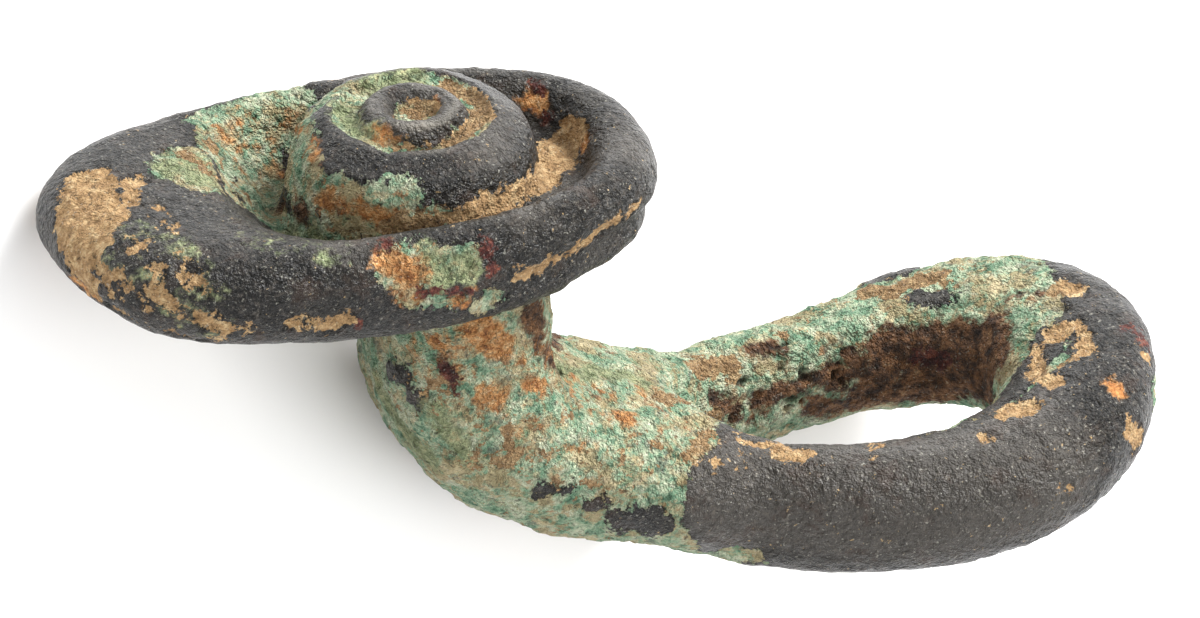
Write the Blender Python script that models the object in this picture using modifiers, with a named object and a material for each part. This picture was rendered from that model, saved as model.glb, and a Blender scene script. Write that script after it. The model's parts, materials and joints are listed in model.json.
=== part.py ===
"""Button and loop fastener of cast copper alloy: an oval, dished button with a ringed boss, on a neck that
bends over into an open loop. It is one casting.

It is modelled upright, with its loop level, the button above it and +X towards the loop's end. Heights are
measured from the loop's underside, unless a comment says otherwise. The button is too heavy for the fastener
to stand like that, so at the end it is laid on its side."""

import math

import bmesh
import bpy
from mathutils import Matrix, Vector
from mathutils.geometry import intersect_ray_tri

MM = 0.001

# Button, seen from above. Its recess is off centre and leaves a thick lobe at the end away from the loop.
BUTTON_LENGTH = 27.1 * MM
BUTTON_WIDTH = 15.7 * MM
BUTTON_SQUARENESS = 2.5
BUTTON_TAPER = -0.07
BUTTON_TOP = 20.9 * MM
BUTTON_THICKNESS = 4.75 * MM
BUTTON_TILT = math.radians(0.6)
LOBE_LENGTH = 8.0 * MM
RIM_WIDTH = 2.2 * MM
RIM_WIDTH_BY_LOOP = 3.1 * MM
RIM_SQUARENESS = 2.1

# Recess. Depths are below the rim's crest: the floor is deep by the lobe, and caked higher by the loop.
RECESS_DEPTH_BY_LOBE = 3.0 * MM
RECESS_DEPTH_BY_LOOP = 1.6 * MM
FLOOR_SHARE = 0.72
FLOOR_SHARE_BY_LOBE = 0.25
LOBE_INNER_DROP = 0.35

# Groove round the outside of the button, under its rim. It is centred on the end by the loop, reaches this
# far round on both sides, and fades out over the last share of that.
EDGE_GROOVE_DEPTH = 0.6 * MM
EDGE_GROOVE_DROP = 3.1 * MM
EDGE_GROOVE_WIDTH = 0.9 * MM
EDGE_GROOVE_REACH = math.radians(88)
EDGE_GROOVE_FADE = 0.4

# Boss in the recess, with a small raised ring on top of it.
BOSS_FROM_BUTTON_END = 10.6 * MM
BOSS_RADIUS = 5.4 * MM
BOSS_RISE = 1.5 * MM
BOSS_SHOULDER = 4.4 * MM
BOSS_SIDE_SHARE = 0.8
BOSS_GROOVE_RADIUS = 3.4 * MM
BOSS_GROOVE_DEPTH = 0.75 * MM
BOSS_RING_RADIUS = 1.65 * MM
BOSS_RING_WIDTH = 1.0 * MM
DIMPLE_DEPTH = 0.7 * MM

# Neck under the button, and the bend that turns it into the loop: the middle of one strap, by its distance
# from the button's end, height, width and thickness. It starts inside the button and ends in the loop.
STRAP = (
    (8.6 * MM, 18.4 * MM, 12.4 * MM, 8.8 * MM),
    (8.7 * MM, 15.8 * MM, 11.0 * MM, 7.6 * MM),
    (8.8 * MM, 12.8 * MM, 10.7 * MM, 7.4 * MM),
    (8.5 * MM, 9.3 * MM, 10.9 * MM, 7.7 * MM),
    (5.7 * MM, 6.4 * MM, 11.1 * MM, 6.9 * MM),
    (1.2 * MM, 4.5 * MM, 11.6 * MM, 6.6 * MM),
    (-4.2 * MM, 2.8 * MM, 12.6 * MM, 5.6 * MM),
)
STRAP_SQUARENESS = 2.6

# Belly of the bend's rounded underside. It grows and fades over these heights of the strap's middle.
BELLY_DEPTH = 0.5 * MM
BELLY_SQUARENESS = 1.8
BELLY_FROM_HEIGHT = 9.3 * MM
BELLY_FULL_HEIGHT = 6.6 * MM
BELLY_TO_HEIGHT = 3.2 * MM

# Loop, a thick ring with a drop-shaped eye. Its far end curves up.
LOOP_REACH = 22.7 * MM
LOOP_LENGTH = 24.6 * MM
LOOP_WIDTH = 18.6 * MM
LOOP_SQUARENESS = 2.0
LOOP_TAPER = 0.28
LOOP_BAR_THICKNESS = 5.7 * MM
LOOP_BAR_SQUARENESS = 2.4
LOOP_RISE = 2.5 * MM
LOOP_FLAT_LENGTH = 7.6 * MM
EYE_LENGTH = 14.0 * MM
EYE_WIDTH = 8.0 * MM
EYE_TAPER = 0.22
BAR_WIDTH_AT_END = 6.9 * MM
EYE_FLARE = ((0.3, -1.0), (0.16, -0.5), (0.03, -0.25), (0.0, 0.0), (0.03, 0.25), (0.16, 0.5), (0.3, 1.0))

# Rest. Lying on its side, the fastener touches the ground with lobe, bend and loop, each worn to a flat spot.
# A way of lying counts as on the side where more than this share of the way down is across the loop.
FLAT_SPOT_DEPTH = 0.15 * MM
SIDE_SHARE = 0.3

# Mesh of the casting: how finely it is skinned, how far its joins are rounded, and how many triangles it has.
RING_POINTS = 72
RIM_STEPS = 22
BOSS_SIDE_STEPS = 8
FOOT_SHARE = 0.1
SECTION_POINTS = 24
STEPS_PER_STATION = 5
CAST_VOXEL = 0.24 * MM
SHANK_ROUNDING_STEPS = 36
CAST_ROUNDING_STEPS = 4
TRIANGLES = 9400


def power_of(value, exponent):
    """The value raised to the exponent, keeping its sign, as superellipses need."""
    return math.copysign(abs(value) ** exponent, value)


def oval(low_x, high_x, half_width, squareness=2.0, taper=0.0):
    """Plan points of an oval between low_x and high_x. A taper narrows its low_x end into a drop."""
    centre = (low_x + high_x) / 2
    reach = (high_x - low_x) / 2
    turns = [2 * math.pi * step / RING_POINTS for step in range(RING_POINTS)]
    widths = [power_of(math.sin(turn), 2 / squareness) * (1 + taper * math.cos(turn)) for turn in turns]
    widest = max(widths)
    lengths = [power_of(math.cos(turn), 2 / squareness) for turn in turns]
    return [
        Vector((centre + reach * length, half_width * width / widest, 0.0))
        for length, width in zip(lengths, widths)
    ]


def between(inner, outer, share):
    """The points that lie this share of the way from the inner outline to the outer one."""
    return [a.lerp(b, share) for a, b in zip(inner, outer)]


def at_height(outline, height):
    """The outline's points at one height, or at a height for each point where a list is given."""
    heights = height if isinstance(height, list) else [height] * len(outline)
    return [Vector((point.x, point.y, z)) for point, z in zip(outline, heights)]


def smooth_step(value):
    held = min(1.0, max(0.0, value))
    return held * held * (3 - 2 * held)


def loft(name, sections, material, endless=False):
    """A closed body through sections with equal numbers of points. An endless one joins its two ends."""
    mesh = bmesh.new()
    rings = [[mesh.verts.new(point) for point in section] for section in sections]
    pairs = list(zip(rings, rings[1:] + rings[:1])) if endless else list(zip(rings, rings[1:]))
    for lower, upper in pairs:
        for step in range(len(lower)):
            after = (step + 1) % len(lower)
            mesh.faces.new((lower[step], lower[after], upper[after], upper[step]))
    if not endless:
        mesh.faces.new(rings[0])
        mesh.faces.new(rings[-1])
    bmesh.ops.recalc_face_normals(mesh, faces=mesh.faces)
    data = bpy.data.meshes.new(name)
    mesh.to_mesh(data)
    mesh.free()
    data.materials.append(material)
    return data


def linked(name, data, collection):
    made = bpy.data.objects.new(name, data)
    collection.objects.link(made)
    return made


def new_collection(name):
    made = bpy.data.collections.new(name)
    bpy.context.scene.collection.children.link(made)
    return made


def copper_alloy():
    """Corroded copper alloy under a dark brown-black skin."""
    material = bpy.data.materials.new("patinated_bronze")
    material.use_nodes = True
    shader = material.node_tree.nodes["Principled BSDF"]
    shader.inputs["Base Color"].default_value = (0.09, 0.10, 0.08, 1.0)
    shader.inputs["Metallic"].default_value = 0.2
    shader.inputs["Roughness"].default_value = 0.6
    return material


def boss_sections(axis_x):
    """Round sections from the dimple on the boss's top, over its ring and groove, and down to its foot."""
    top = BOSS_RISE
    ring_inside = BOSS_RING_RADIUS - BOSS_RING_WIDTH / 2
    ring_outside = BOSS_RING_RADIUS + BOSS_RING_WIDTH / 2
    profile = [
        (ring_inside * 0.35, top - DIMPLE_DEPTH),
        (ring_inside * 0.8, top - DIMPLE_DEPTH * 0.9),
        (ring_inside * 1.1, top - DIMPLE_DEPTH * 0.35),
        (BOSS_RING_RADIUS, top),
        (ring_outside * 0.96, top - BOSS_GROOVE_DEPTH * 0.4),
        (ring_outside * 1.04, top - BOSS_GROOVE_DEPTH * 0.95),
        ((ring_outside + BOSS_GROOVE_RADIUS) / 2, top - BOSS_GROOVE_DEPTH),
        (BOSS_GROOVE_RADIUS * 0.97, top - BOSS_GROOVE_DEPTH * 0.85),
        (BOSS_GROOVE_RADIUS * 1.04, top - BOSS_GROOVE_DEPTH * 0.3),
    ]
    shoulder_top = profile[-1][1]
    drop = BOSS_SIDE_SHARE * (BOSS_RISE + RECESS_DEPTH_BY_LOBE)
    for step in range(1, BOSS_SIDE_STEPS + 1):
        turn = math.pi / 2 * step / BOSS_SIDE_STEPS
        radius = BOSS_SHOULDER + (BOSS_RADIUS - BOSS_SHOULDER) * math.sin(turn)
        profile.append((radius, shoulder_top - drop * (1 - math.cos(turn))))
    return [
        at_height(oval(axis_x - radius, axis_x + radius, radius), height) for radius, height in profile
    ]


def by_lobe(point, start, full):
    """How far towards the lobe a point is: 0 up to start and 1 from full on, both from the button's end."""
    return smooth_step((-point.x - start) / (full - start))


def floor_heights(outline):
    """Height of the recess's floor under each point of an outline: deep by the lobe, higher by the loop."""
    shares = [by_lobe(point, RIM_WIDTH_BY_LOOP, BOSS_FROM_BUTTON_END + BOSS_RADIUS) for point in outline]
    fall = RECESS_DEPTH_BY_LOBE - RECESS_DEPTH_BY_LOOP
    return [-RECESS_DEPTH_BY_LOOP - fall * share for share in shares]


def edge_groove(turn, height):
    """How far the groove under the rim cuts in, at a turn round the button and a height below its crest."""
    away = abs(math.remainder(turn, 2 * math.pi)) / EDGE_GROOVE_REACH
    across = (height + EDGE_GROOVE_DROP) / (EDGE_GROOVE_WIDTH / 2)
    return EDGE_GROOVE_DEPTH * smooth_step((1 - away) / EDGE_GROOVE_FADE) * math.exp(-across * across)


def button(material):
    """The button, lofted from its boss outwards, over the rim and back under. Its crest is at height 0."""
    boss_x = -BOSS_FROM_BUTTON_END
    outer = oval(-BUTTON_LENGTH, 0.0, BUTTON_WIDTH / 2, BUTTON_SQUARENESS, BUTTON_TAPER)
    inner_end = LOBE_LENGTH - BUTTON_LENGTH
    inner_width = BUTTON_WIDTH / 2 - RIM_WIDTH
    inner = oval(inner_end, -RIM_WIDTH_BY_LOOP, inner_width, BUTTON_SQUARENESS, BUTTON_TAPER)
    foot = oval(boss_x - BOSS_RADIUS, boss_x + BOSS_RADIUS, BOSS_RADIUS)
    lobe = [by_lobe(point, BUTTON_LENGTH / 2, BUTTON_LENGTH - LOBE_LENGTH) for point in inner]
    floor = []
    for start, end, share in zip(foot, inner, lobe):
        floor.append(start.lerp(end, FLOOR_SHARE + (FLOOR_SHARE_BY_LOBE - FLOOR_SHARE) * share))
    sections = boss_sections(boss_x)
    sections.append(at_height(between(foot, inner, FOOT_SHARE), floor_heights(foot)))
    sections.append(at_height(floor, floor_heights(floor)))
    middle = -BUTTON_THICKNESS / 2
    for step in range(RIM_STEPS + 1):
        turn = math.pi * (1.0 - 1.5 * step / RIM_STEPS)
        share = (1 + power_of(math.cos(turn), 2 / RIM_SQUARENESS)) / 2
        height = middle - middle * power_of(math.sin(turn), 2 / RIM_SQUARENESS)
        around = between(inner, outer, share)
        centre = sum(around, Vector()) / len(around)
        section = []
        for index, point in enumerate(around):
            cut = edge_groove(2 * math.pi * index / RING_POINTS, height) if share > 0.5 else 0.0
            drop = 1.0 - (1.0 - LOBE_INNER_DROP) * lobe[index] if share < 0.5 and height > middle else 1.0
            place = point - (point - centre).normalized() * cut
            section.append(Vector((place.x, place.y, height * drop)))
        sections.append(section)
    under = oval(boss_x - BOSS_SHOULDER, boss_x + BOSS_SHOULDER, BOSS_SHOULDER)
    sections.append(at_height(under, -BUTTON_THICKNESS))
    data = loft("button", sections, material)
    data.transform(button_place())
    return data


def button_place():
    """Where the button stands: turned about the middle of its length, with its crest at its top height."""
    pivot = Vector((-BUTTON_LENGTH / 2, 0.0, 0.0))
    turned = Matrix.Rotation(BUTTON_TILT, 4, "Y")
    return Matrix.Translation(pivot + Vector((0.0, 0.0, BUTTON_TOP))) @ turned @ Matrix.Translation(-pivot)


def curve_point(before, start, end, after, share):
    """A point part of the way from start to end on the smooth curve through four stations."""
    return 0.5 * (
        2 * start
        + (end - before) * share
        + (2 * before - 5 * start + 4 * end - after) * share**2
        + (3 * start - before - 3 * end + after) * share**3
    )


def strap_stations():
    """Closely spaced stations down the neck and round the bend: place along X, height, width, thickness."""
    table = [Vector((-away, height, width, thickness)) for away, height, width, thickness in STRAP]
    padded = [2 * table[0] - table[1]] + table + [2 * table[-1] - table[-2]]
    stations = []
    for index in range(1, len(padded) - 2):
        for step in range(STEPS_PER_STATION):
            share = step / STEPS_PER_STATION
            stations.append(curve_point(*padded[index - 1 : index + 3], share))
    return stations + [table[-1]]


def belly_depth(height):
    """How far the bend's underside bulges where the strap's middle is at this height."""
    growing = (BELLY_FROM_HEIGHT - height) / (BELLY_FROM_HEIGHT - BELLY_FULL_HEIGHT)
    fading = (height - BELLY_TO_HEIGHT) / (BELLY_FULL_HEIGHT - BELLY_TO_HEIGHT)
    return BELLY_DEPTH * smooth_step(min(growing, fading))


def strap(material):
    """The neck and bend: one flat bar that flares into the button and widens into the loop."""
    stations = strap_stations()
    sections = []
    for index, station in enumerate(stations):
        before = stations[max(index - 1, 0)]
        after = stations[min(index + 1, len(stations) - 1)]
        along = Vector((after[0] - before[0], 0.0, after[1] - before[1])).normalized()
        across = Vector((-along.z, 0.0, along.x))
        middle = Vector((station[0], 0.0, station[1]))
        belly = belly_depth(station[1])
        section = []
        for step in range(SECTION_POINTS):
            turn = 2 * math.pi * step / SECTION_POINTS
            sideways = power_of(math.cos(turn), 2 / STRAP_SQUARENESS) * station[2] / 2
            if turn < math.pi:
                depth = power_of(math.sin(turn), 2 / STRAP_SQUARENESS) * station[3] / 2
            else:
                squareness = STRAP_SQUARENESS + (BELLY_SQUARENESS - STRAP_SQUARENESS) * belly / BELLY_DEPTH
                depth = power_of(math.sin(turn), 2 / squareness) * (station[3] / 2 + belly)
            section.append(middle + Vector((0.0, sideways, 0.0)) + across * depth)
        sections.append(section)
    return loft("strap", sections, material)


def eye_outline():
    eye_end = LOOP_REACH - BAR_WIDTH_AT_END
    return oval(eye_end - EYE_LENGTH, eye_end, EYE_WIDTH / 2, taper=EYE_TAPER)


def loop_outline():
    return oval(LOOP_REACH - LOOP_LENGTH, LOOP_REACH, LOOP_WIDTH / 2, LOOP_SQUARENESS, LOOP_TAPER)


def curved_up(outline, height):
    """The outline's points at this height in the loop, which rises towards its far end."""
    run = LOOP_REACH - LOOP_FLAT_LENGTH
    rises = [LOOP_RISE * (max(0.0, point.x - LOOP_FLAT_LENGTH) / run) ** 2 for point in outline]
    return at_height(outline, [height + rise for rise in rises])


def loop(material):
    """The loop: a round-edged band between the eye's outline and its own."""
    middle = LOOP_BAR_THICKNESS / 2
    sections = []
    for step in range(SECTION_POINTS):
        turn = 2 * math.pi * step / SECTION_POINTS
        share = (1 - power_of(math.cos(turn), 2 / LOOP_BAR_SQUARENESS)) / 2
        height = middle + LOOP_BAR_THICKNESS / 2 * power_of(math.sin(turn), 2 / LOOP_BAR_SQUARENESS)
        sections.append(curved_up(between(eye_outline(), loop_outline(), share), height))
    return loft("loop", sections, material, endless=True)


def eye_opening(material):
    """The eye as a solid, to cut from the strap's end: narrow at the bar's middle, wider above and below."""
    middle = LOOP_BAR_THICKNESS / 2
    sections = []
    for share, height in EYE_FLARE:
        outline = between(eye_outline(), loop_outline(), share)
        sections.append(curved_up(outline, middle + height * LOOP_BAR_THICKNESS))
    return loft("eye_opening", sections, material)


def joined(base, added, name, collection):
    """One body from two overlapping ones, by Boolean union."""
    union = base.modifiers.new("join_" + added.name, "BOOLEAN")
    union.operation = "UNION"
    union.object = added
    return frozen(base, name, collection)


def cut_from(body, cutter):
    cut = body.modifiers.new("cut_" + cutter.name, "BOOLEAN")
    cut.operation = "DIFFERENCE"
    cut.object = cutter


def frozen(source, name, collection):
    """A plain mesh object of what the source's modifiers make."""
    graph = bpy.context.evaluated_depsgraph_get()
    data = bpy.data.meshes.new_from_object(source.evaluated_get(graph))
    return linked(name, data, collection)


def skinned(body, rounding_steps, name, collection):
    """The body under one even skin, with its joins rounded off as on a wax model."""
    remesh = body.modifiers.new("skin", "REMESH")
    remesh.mode = "VOXEL"
    remesh.voxel_size = CAST_VOXEL
    rounding = body.modifiers.new("rounding", "SMOOTH")
    rounding.factor = 0.5
    rounding.iterations = rounding_steps
    return frozen(body, name, collection)


def thinned(body, name, collection):
    """The body in few triangles."""
    count = sum(len(face.vertices) - 2 for face in body.data.polygons)
    thinning = body.modifiers.new("thinning", "DECIMATE")
    thinning.ratio = min(1.0, TRIANGLES / count)
    return frozen(body, name, collection)


def centre_of_mass(data):
    """Centre of mass of a closed mesh, summed over the wedges between its triangles and the origin."""
    data.calc_loop_triangles()
    volume = 0.0
    moment = Vector()
    for triangle in data.loop_triangles:
        a, b, c = [data.vertices[index].co for index in triangle.vertices]
        wedge = a.dot(b.cross(c))
        volume += wedge
        moment += wedge * (a + b + c) / 4
    return moment / volume


def side_down(data):
    """The turn that lays the casting on its +Y side: down onto the face of its convex hull that its centre of
    mass is above, and then round, until the loop's end points along +X."""
    mass = centre_of_mass(data)
    hull = bmesh.new()
    for vertex in data.vertices:
        hull.verts.new(vertex.co)
    bmesh.ops.convex_hull(hull, input=hull.verts)
    bmesh.ops.recalc_face_normals(hull, faces=hull.faces)
    found = []
    for face in hull.faces:
        corners = [vertex.co for vertex in face.verts]
        if face.normal.y > SIDE_SHARE and intersect_ray_tri(*corners, face.normal, mass):
            found.append(((corners[0] - mass).dot(face.normal), face.normal.copy()))
    hull.free()
    lowest = min(found, key=lambda height_and_normal: height_and_normal[0])[1]
    lowered = lowest.rotation_difference(Vector((0.0, 0.0, -1.0))).to_matrix()
    ahead = lowered @ Vector((1.0, 0.0, 0.0))
    return (Matrix.Rotation(-math.atan2(ahead.y, ahead.x), 3, "Z") @ lowered).to_4x4()


def lay_on_ground(data):
    """Lays the casting on its side, centred over the origin and sunk by the depth of its flat spots."""
    data.transform(side_down(data))
    low = Vector([min(vertex.co[axis] for vertex in data.vertices) for axis in range(3)])
    high = Vector([max(vertex.co[axis] for vertex in data.vertices) for axis in range(3)])
    middle = (low + high) / 2
    data.transform(Matrix.Translation((-middle.x, -middle.y, -low.z - FLAT_SPOT_DEPTH)))


def wear_flat_spots(body, tools):
    """Cuts off what is below the ground."""
    size = 4 * BUTTON_LENGTH
    bpy.ops.mesh.primitive_cube_add(size=size, location=(0, 0, -size / 2))
    cutter = bpy.context.active_object
    cutter.name = "rest_plane"
    for holder in list(cutter.users_collection):
        holder.objects.unlink(cutter)
    tools.objects.link(cutter)
    cutter.display_type = "WIRE"
    cutter.hide_render = True
    cut_from(body, cutter)


def main():
    for old in list(bpy.data.objects):
        bpy.data.objects.remove(old)
    fastener = new_collection("button_and_loop_fastener")
    tools = new_collection("cutters")
    metal = copper_alloy()
    head = linked("button", button(metal), tools)
    neck = linked("strap", strap(metal), tools)
    cut_from(neck, linked("eye_opening", eye_opening(metal), tools))
    ring = linked("loop", loop(metal), tools)
    shank = skinned(joined(neck, ring, "raw_shank", tools), SHANK_ROUNDING_STEPS, "shank", tools)
    fine = skinned(joined(head, shank, "raw_casting", tools), CAST_ROUNDING_STEPS, "fine_skin", tools)
    casting = thinned(fine, "fastener_casting", fastener)
    for helper in list(tools.objects):
        bpy.data.objects.remove(helper)
    lay_on_ground(casting.data)
    wear_flat_spots(casting, tools)
    for face in casting.data.polygons:
        face.use_smooth = True


main()
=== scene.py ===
# %% [markdown]
# # A button and loop fastener, lying on a pale floor
# The object is one casting of copper alloy, about 50 mm long and roughly two thousand years old. The shape
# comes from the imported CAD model. This script gives it a finer skin, its corrosion and its colours, and a
# camera that sees it as the photograph does.

import itertools
import json
import math

import bmesh
import bpy
import numpy as np
from mathutils import Matrix, Vector, noise
from mathutils.bvhtree import BVHTree


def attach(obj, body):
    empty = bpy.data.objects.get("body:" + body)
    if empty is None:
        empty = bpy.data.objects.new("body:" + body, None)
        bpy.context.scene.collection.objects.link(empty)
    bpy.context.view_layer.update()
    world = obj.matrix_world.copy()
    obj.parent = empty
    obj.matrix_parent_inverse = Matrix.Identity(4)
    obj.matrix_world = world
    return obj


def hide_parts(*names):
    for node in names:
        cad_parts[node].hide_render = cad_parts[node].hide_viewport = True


MM = 0.001

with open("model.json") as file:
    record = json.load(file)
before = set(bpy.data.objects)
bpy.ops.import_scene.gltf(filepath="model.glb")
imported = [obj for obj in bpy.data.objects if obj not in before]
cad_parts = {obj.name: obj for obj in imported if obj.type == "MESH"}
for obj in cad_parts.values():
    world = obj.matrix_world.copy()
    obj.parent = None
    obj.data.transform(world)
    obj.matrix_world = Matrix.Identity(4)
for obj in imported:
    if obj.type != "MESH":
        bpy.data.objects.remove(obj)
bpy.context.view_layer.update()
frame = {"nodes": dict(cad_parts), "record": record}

# %% [markdown]
# ## The casting's own directions
# The fastener lies on its side, so its own length, width and height point in slanting directions. A dimple on
# the button or a camera angle is much easier to describe in those own directions, as if the fastener stood
# upright on its loop. The record's neck mount says which way the button faces. The length is level as it
# lies, and the third direction is at right angles to both.

# %% Cast coordinates
mounts = {mount["name"]: mount for mount in frame["record"]["mounts"]}
FACING = Vector(mounts["neck"]["axis"]).normalized()
LENGTHWISE = Vector((FACING.z, 0.0, -FACING.x)).normalized()
SIDEWAYS = FACING.cross(LENGTHWISE)

# The button's end by the loop, at its middle and on the level of the loop's underside.
CAST_ORIGIN = Vector((3.88, -8.99, 3.55)) * MM

cast_to_world = Matrix.Translation(CAST_ORIGIN) @ Matrix((LENGTHWISE, SIDEWAYS, FACING)).transposed().to_4x4()
world_to_cast = cast_to_world.inverted()
print("The button faces", [round(value, 2) for value in FACING])

# %% [markdown]
# ## The camera
# The photograph is taken from 19 degrees to the left of square on and 30.5 degrees above the loop's level. It
# has almost no perspective, which means a long lens from well away. The angles are given for the upright
# casting and turned with it, so the camera looks down on the fastener as it lies.

# %% Camera
PHOTO_WIDTH = 1200
PHOTO_HEIGHT = 618
VIEW_AZIMUTH = math.radians(-19)
VIEW_ELEVATION = math.radians(30.5)
VIEW_TARGET = Vector((-0.44, 5.10, 8.19)) * MM
VIEW_WIDTH = 51.96 * MM
VIEW_DISTANCE = 800 * MM
CLIP_NEAR = 10 * MM
CLIP_FAR = 5.0

view_back = Vector((
    math.sin(VIEW_AZIMUTH) * math.cos(VIEW_ELEVATION),
    -math.cos(VIEW_AZIMUTH) * math.cos(VIEW_ELEVATION),
    math.sin(VIEW_ELEVATION),
))
view_right = Vector((math.cos(VIEW_AZIMUTH), math.sin(VIEW_AZIMUTH), 0.0))
view_up = view_back.cross(view_right)
camera_turn = Matrix((view_right, view_up, view_back)).transposed().to_4x4()
camera_matrix = cast_to_world @ Matrix.Translation(VIEW_TARGET + view_back * VIEW_DISTANCE) @ camera_turn

camera = bpy.data.objects.new("camera", bpy.data.cameras.new("camera"))
bpy.context.scene.collection.objects.link(camera)
camera.matrix_world = camera_matrix
camera.data.lens = camera.data.sensor_width * VIEW_DISTANCE / VIEW_WIDTH
camera.data.clip_start = CLIP_NEAR
camera.data.clip_end = CLIP_FAR
bpy.context.scene.camera = camera
print("Lens", round(camera.data.lens), "mm")

# %% [markdown]
# ## A finer skin
# The CAD casting has about 9,000 triangles, too few to carry corrosion. Subdividing it would keep its long
# thin triangles, and relief comes out streaky on those. A voxel remesh lays a new, even skin over it instead,
# with a face about every 0.2 mm, and a little smoothing takes out the old facets.

# %% Fine skin
SKIN_VOXEL = 0.195 * MM
SKIN_WELD = 0.001 * MM
SKIN_ROUNDING = 0.5
SKIN_ROUNDING_STEPS = 12


def linked(name, data):
    """A new object in the scene."""
    made = bpy.data.objects.new(name, data)
    bpy.context.scene.collection.objects.link(made)
    return made


def frozen(source):
    """A plain mesh of what an object's modifiers make."""
    graph = bpy.context.evaluated_depsgraph_get()
    return bpy.data.meshes.new_from_object(source.evaluated_get(graph))


def fine_skin(node):
    """The CAD node's shape as one closed mesh of small, even faces."""
    whole = bmesh.new()
    whole.from_mesh(node.data)
    bmesh.ops.remove_doubles(whole, verts=whole.verts, dist=SKIN_WELD)
    data = bpy.data.meshes.new("skin")
    whole.to_mesh(data)
    whole.free()
    rough = linked("rough_skin", data)
    remesh = rough.modifiers.new("even", "REMESH")
    remesh.mode = "VOXEL"
    remesh.voxel_size = SKIN_VOXEL
    rounding = rough.modifiers.new("rounding", "SMOOTH")
    rounding.factor = SKIN_ROUNDING
    rounding.iterations = SKIN_ROUNDING_STEPS
    data = frozen(rough)
    bpy.data.objects.remove(rough)
    return data


casting = linked("patinated_casting", fine_skin(frame["nodes"]["fastener_casting"]))
for face in casting.data.polygons:
    face.use_smooth = True
print("Fine skin:", len(casting.data.polygons), "faces")

# %% [markdown]
# ## A casting that is not quite regular
# The CAD model is even on both sides. The old casting is worn at the lobe and a little thin in places, by
# less than a millimetre. Sculpting could do this, but a soft press is easier to repeat and to change. It
# moves the skin most at its middle, and less and less further away.

# %% Points in the casting's own directions
def cast_points(mesh):
    """A mesh's points along the casting's own directions, in millimetres."""
    flat = np.empty(len(mesh.vertices) * 3)
    mesh.vertices.foreach_get("co", flat)
    turn = np.array(world_to_cast.to_3x3())
    return (flat.reshape(-1, 3) @ turn.T + np.array(world_to_cast.translation)) / MM


points = cast_points(casting.data)


def drift(size, shift):
    """Smooth noise between about -1 and 1 on every point, with lumps of a size in millimetres."""
    step = Vector((shift, 0, 0))
    return np.array([noise.noise(Vector(point) / size + step) for point in points.tolist()])


print("Points on the skin:", len(points))

# %% Presses
# Each: its middle, how far it reaches, and its shift, in millimetres along the casting's own directions.
PRESSES = {
    "lobe_tip": ((-26.5, -3.0, 18.0), (4.0, 6.0, 4.0), (0.65, 0.10, 0.35)),
    "lobe_top": ((-18.5, 6.5, 21.0), (4.0, 3.0, 2.0), (0.05, -0.15, -0.30)),
    "lobe_flank": ((-20.0, -7.0, 16.5), (5.0, 3.0, 2.5), (0.0, 0.15, 0.25)),
    "side_by_neck": ((-3.5, -5.2, 16.8), (4.0, 4.0, 2.5), (-0.50, 0.30, 0.15)),
    "far_arm": ((10.0, 7.2, 6.0), (4.0, 2.5, 2.5), (-0.15, -0.40, -0.70)),
}

before = points.copy()
for middle, reach, shift in PRESSES.values():
    share = np.exp(-(((before - middle) / reach) ** 2).sum(axis=1))
    points += share[:, None] * shift
print("Largest shift by a press:", round(float(np.linalg.norm(points - before, axis=1).max()), 2), "mm")

# %% [markdown]
# ## Crisp rings on the boss
# The boss carries a dimple, a round ring and a groove, like a target. They are only about a millimetre wide,
# and the remesh softens them. So the skin's points on top of the boss are moved up or down to a profile, as a
# turner would cut to a template.

# %% Profile of the boss's top
BOSS_MIDDLE = np.array((-10.6, 0.15))
BOSS_FOOT_HEIGHT = 20.4
BOSS_UNEVENNESS = 0.12
BOSS_UNEVENNESS_SIZE = 2.0
# The profile fades into the skin over this width, in millimetres.
BOSS_BLEND = 0.4
# Distance from the middle, and height, in millimetres. Soil fills the groove almost to its edge.
BOSS_PROFILE = (
    (0.0, 22.42), (0.7, 22.44), (0.95, 22.50), (1.15, 22.72), (1.35, 22.87), (1.65, 22.93), (1.9, 22.86),
    (2.1, 22.64), (2.22, 22.40), (2.4, 22.32), (2.9, 22.36), (3.2, 22.42), (3.35, 22.56), (3.55, 22.58),
    (3.9, 22.44), (4.3, 22.18), (4.9, 21.69),
)
HOLLOW_PLACE = np.array((-11.1, -2.45))
HOLLOW_SIZE = np.array((1.1, 0.4))
HOLLOW_DEPTH = 0.4

away = np.linalg.norm(points[:, :2] - BOSS_MIDDLE, axis=1)
away += BOSS_UNEVENNESS * drift(BOSS_UNEVENNESS_SIZE, shift=5.0)
profile_height = np.interp(away, *zip(*BOSS_PROFILE))
hollow = np.exp(-(((points[:, :2] - HOLLOW_PLACE) / HOLLOW_SIZE) ** 2).sum(axis=1))
hold = np.clip((BOSS_PROFILE[-1][0] - away) / BOSS_BLEND, 0, 1) * (points[:, 2] > BOSS_FOOT_HEIGHT)
points[:, 2] += hold * (profile_height - HOLLOW_DEPTH * hollow - points[:, 2])
placed = points * MM @ np.array(cast_to_world.to_3x3()).T + np.array(cast_to_world.translation)
casting.data.vertices.foreach_set("co", placed.ravel())
casting.data.update()
print("Points moved on the boss:", int((hold > 0).sum()))

# %% [markdown]
# ## Pointing at the casting through the photograph
# The corrosion has no pattern to follow, so its patches are put where the photograph shows them. A ray from
# the camera through a pixel lands on the metal, and the patch is painted there, on the surface itself. So it
# stays in its place from every side, which a picture laid over the model would not.

# %% Where a pixel lands
surface = BVHTree.FromPolygons(points.tolist(), [tuple(face.vertices) for face in casting.data.polygons])
eye = (VIEW_TARGET + view_back * VIEW_DISTANCE) / MM


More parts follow.
